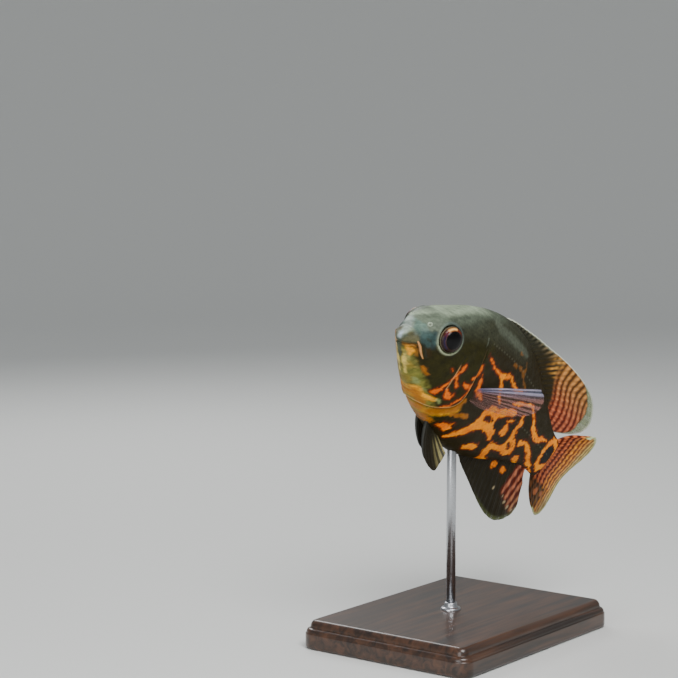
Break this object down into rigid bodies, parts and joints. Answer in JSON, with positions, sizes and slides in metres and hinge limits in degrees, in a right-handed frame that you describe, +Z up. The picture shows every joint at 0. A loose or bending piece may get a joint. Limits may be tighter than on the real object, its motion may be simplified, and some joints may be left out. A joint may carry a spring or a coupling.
{
  "type": "fish model",
  "caption": "Life-size still model of a young oscar cichlid swimming nose up, its fins spread, on a rod and a flat base.",
  "frame": {"origin": "middle of the underside of the stand's base", "axes": "+Z up, the fish heads towards -X with its nose up, and its left side faces -Y"},
  "size_m": [0.144, 0.084, 0.1451],
  "materials": {
    "head_skin": "painted wet skin, slate grey to olive",
    "jaw_skin": "painted wet skin, blue grey to yellow green",
    "gill_cover_skin": "painted wet skin, dark olive with orange marks",
    "trunk_skin": "painted wet skin, charcoal green with orange marks",
    "stalk_skin": "painted wet skin, charcoal with an orange-ringed spot",
    "eye": "clear and wet",
    "dorsal_fin": "grey fin with orange stripes and a pale rim",
    "anal_fin": "dark fin with pinkish stripes",
    "caudal_fin": "orange and dark striped fin with a pale rim",
    "pectoral_fin": "thin clear fin with pale rays",
    "pelvic_fin": "near-black fin",
    "stand_base": "dark stained, satin lacquer",
    "stand_rod": "satin"
  },
  "bodies": {
    "root": {"head": "head_skin", "lower_jaw": "jaw_skin", "gill_cover_left": "gill_cover_skin", "gill_cover_right": "gill_cover_skin", "trunk": "trunk_skin", "tail_stalk": "stalk_skin", "eye_left": "eye", "eye_right": "eye", "dorsal_fin": "dorsal_fin", "anal_fin": "anal_fin", "caudal_fin": "caudal_fin", "pectoral_fin_left": "pectoral_fin", "pectoral_fin_right": "pectoral_fin", "pelvic_fin_left": "pelvic_fin", "pelvic_fin_right": "pelvic_fin", "stand_base": "stand_base", "stand_rod": "stand_rod"}
  },
  "joints": []
}
